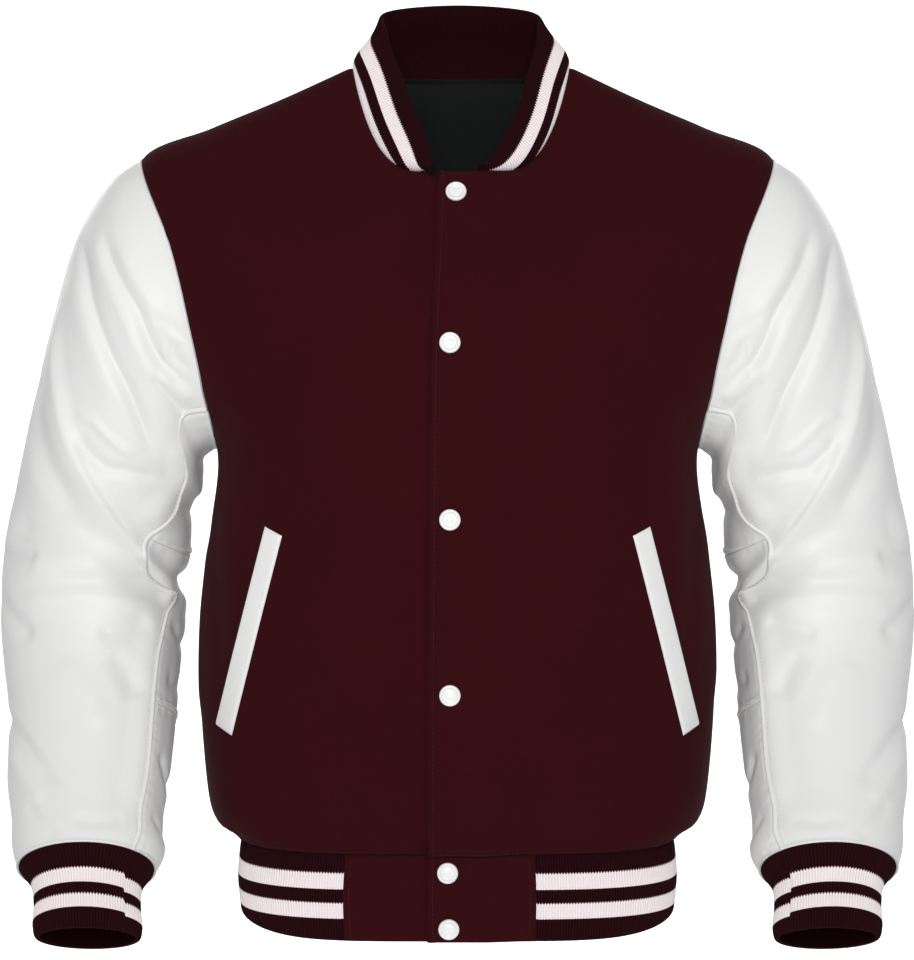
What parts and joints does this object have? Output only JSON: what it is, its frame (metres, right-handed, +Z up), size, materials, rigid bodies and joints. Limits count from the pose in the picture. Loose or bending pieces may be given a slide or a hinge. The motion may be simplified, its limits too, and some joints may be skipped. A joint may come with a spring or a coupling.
{
  "type": "varsity jacket",
  "caption": "Snap-front varsity jacket, worn form: wool body, leather set-in sleeves, striped rib-knit collar, cuffs and hem band.",
  "frame": {"origin": "middle of the neck opening at the height of the neck points, where the wearer's shoulders hold the jacket", "axes": "+Z up, the front faces -Y, the wearer's left is +X"},
  "size_m": [0.772, 0.3232, 0.7742],
  "materials": {
    "wool": "napped wool melton",
    "knit": "rib knit with white stripes",
    "leather": "soft semi-matt",
    "lining": "satin",
    "snap": "gloss"
  },
  "bodies": {
    "root": {"front_left": "wool", "front_right": "wool", "back": "wool", "hem_tab_left": "wool", "hem_tab_right": "wool", "collar": "knit", "hem_rib": "knit", "cuff_left": "knit", "cuff_right": "knit", "sleeve_top_left": "leather", "sleeve_under_upper_left": "leather", "sleeve_under_middle_left": "leather", "sleeve_under_lower_left": "leather", "sleeve_top_right": "leather", "sleeve_under_upper_right": "leather", "sleeve_under_middle_right": "leather", "sleeve_under_lower_right": "leather", "pocket_welt_left": "leather", "pocket_welt_right": "leather", "lining_back": "lining", "snap_1": "snap", "snap_2": "snap", "snap_3": "snap", "snap_4": "snap", "snap_5": "snap", "snap_6": "snap"}
  },
  "joints": []
}
